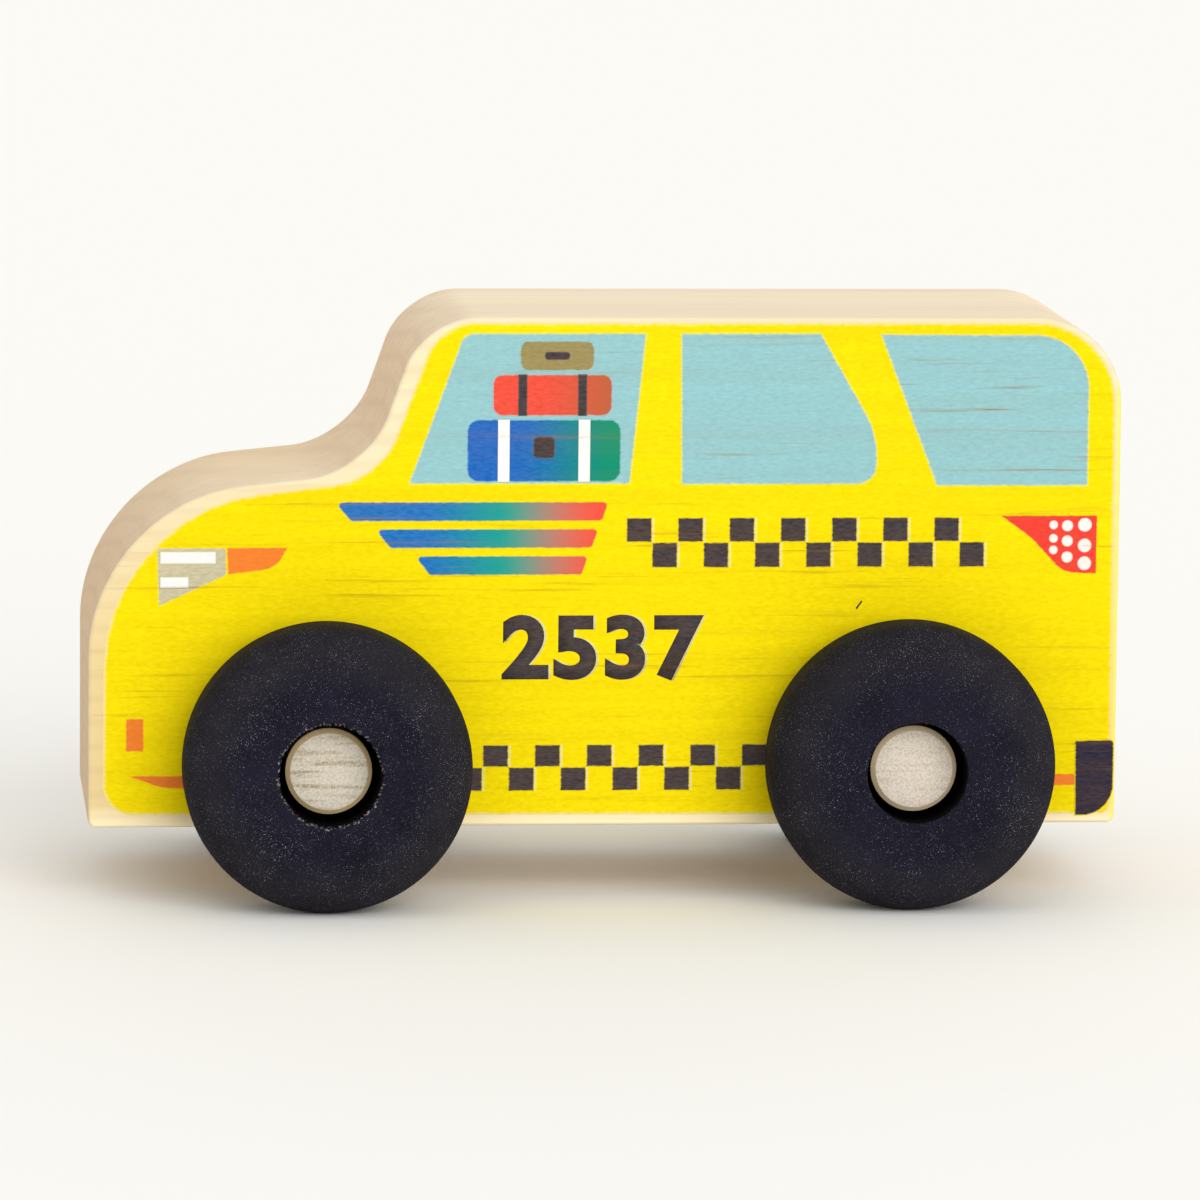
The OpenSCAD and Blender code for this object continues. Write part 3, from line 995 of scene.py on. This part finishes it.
sheets = [
    layInk([inkShape(field["corners"], field["rounds"])], "print_field", 1, "yellow", film["fieldBleed"]),
    layInk([inkShape(pane["corners"], pane["rounds"]) for pane in windows.values()],
           "print_windows", 2, "glass", film["windowBleed"]),
    layInk([inkShape(headlamp["panel"])], "print_headlamp", 2, "grey"),
    layInk([inkShape(bar) for bar in headlamp["bars"]], "print_headlamp_bars", 3, "white"),
    layInk([
        inkShape(headlamp["indicator"], headlamp["indicatorRounds"]), inkShape(trim["marker"]),
        inkShape(trim["sliver"], trim["sliverRounds"]), inkShape(trim["sill"])],
        "print_amber_lamps", 2, "orange"),
    layInk([inkShape(tailLamp["corners"], tailLamp["rounds"])], "print_tail_lamp", 2, "red"),
    layInk([inkDot(back, up, radius) for back, radius, ups in tailLamp["dots"] for up in ups],
           "print_tail_lamp_dots", 3, "dots"),
    layInk([inkShape(trim["bumper"], trim["bumperRounds"])], "print_bumper", 3, "navy"),
    layInk([boxShape(luggage["trunk"])], "print_trunk", 3, "sea"),
    layInk([boxShape(luggage["case"])], "print_case", 3, "ember"),
    layInk([boxShape(luggage["bag"])], "print_bag", 3, "khaki"),
    layInk([boxShape(strap) for strap in luggage["trunkStraps"]], "print_trunk_straps", 4, "white"),
    layInk([boxShape(strap) for strap in luggage["darkStraps"]], "print_luggage_straps", 4, "strap"),
    layInk([inkShape(bar, stripes["round"]) for bar in stripes["bars"]], "print_stripes", 2, "fade"),
]
for name, plan in checkers.items():
    squares = layInk(checkerShapes(plan), f"print_{name}_checker", 2, "charcoal")
    sheets += [squares, gapUnder(squares)]
print("print done on the left:", len(sheets), "inks")
for sheet in sheets:
    toRight(sheet)
digits = layInk([numberShape()], "print_number", 2, "charcoal", bleed=0)  # too narrow to thin out
for sheet in (digits, gapUnder(digits)):
    toRight(sheet, turned=True)
layInk([inkShape(trim["nick"])], "print_nick", 2, "charcoal", bleed=0)  # on the left side only
print("print done on the right")


# floor, light and camera

studio = {
    "floor": "#fbfaf7", "floorSize": 12,  # m
    "ambient": "#fffefb", "ambientStrength": 0.77,
    "aim": (0, 0, 0.03),  # m, where the lights point
    "lights": {  # m, degrees across the light
        "key": {"place": (-1.6, 3.5, 1.4), "soft": 50, "strength": 1.74},
        "fill": {"place": (-0.8, -3.4, 0.7), "soft": 50, "strength": 0.8}},
}
camera = {
    "distance": 900, "yaw": 5.32, "pitch": 7.73, "roll": 0.55,  # mm, degrees
    "back": 58.0, "up": 22.96,  # mm, the point that it looks at, in the car's middle plane
    "focalPixels": 7994, "photoWidth": 1200,  # pixels
    "nearest": 0.01, "furthest": 50,  # m
}


def makeFloor():
    clearSelection()
    bpy.ops.mesh.primitive_plane_add(size=studio["floorSize"], location=(0, 0, 0))
    floor = bpy.context.object
    floor.name = "floor"
    paper, tree = newMaterial("pale paper floor")  # smooth matt paper, no gloss
    shader = addNode(tree, "BsdfPrincipled", {
        "Base Color": hexColour(studio["floor"]), "Roughness": 0.9, "Specular IOR Level": 0})
    addNode(tree, "OutputMaterial", {"Surface": shader.outputs[0]})
    dress(floor, paper)


def makeLight(name, plan):
    clearSelection()
    bpy.ops.object.light_add(type="SUN", location=plan["place"])
    lamp = bpy.context.object
    lamp.name = name
    lamp.data.angle = math.radians(plan["soft"])
    lamp.data.energy = plan["strength"]
    aim = Vector(studio["aim"]) - Vector(plan["place"])
    lamp.rotation_mode = "QUATERNION"
    lamp.rotation_quaternion = aim.to_track_quat("-Z", "Y")


def makeCamera():
    yaw, pitch = math.radians(camera["yaw"]), math.radians(camera["pitch"])
    back = Vector((math.sin(yaw) * math.cos(pitch), math.cos(yaw) * math.cos(pitch), math.sin(pitch)))
    target = Vector((noseX - camera["back"] * mm, 0, underside + camera["up"] * mm))
    clearSelection()
    bpy.ops.object.camera_add(location=target + back * camera["distance"] * mm)
    eye = bpy.context.object
    eye.rotation_mode = "QUATERNION"
    tilt = Quaternion((0, 0, 1), math.radians(camera["roll"]))
    eye.rotation_quaternion = (-back).to_track_quat("-Z", "Y") @ tilt
    eye.data.lens = camera["focalPixels"] * eye.data.sensor_width / camera["photoWidth"]
    eye.data.clip_start = camera["nearest"]
    eye.data.clip_end = camera["furthest"]
    bpy.context.scene.camera = eye


makeFloor()
for name, plan in studio["lights"].items():
    makeLight(name, plan)
makeCamera()
world = bpy.data.worlds.new("studio")
world.use_nodes = True
background = world.node_tree.nodes["Background"]
background.inputs["Color"].default_value = hexColour(studio["ambient"])
background.inputs["Strength"].default_value = studio["ambientStrength"]
bpy.context.scene.world = world
bpy.context.scene.view_settings.view_transform = "Standard"  # keeps the inks as bright as they are
print("studio done")
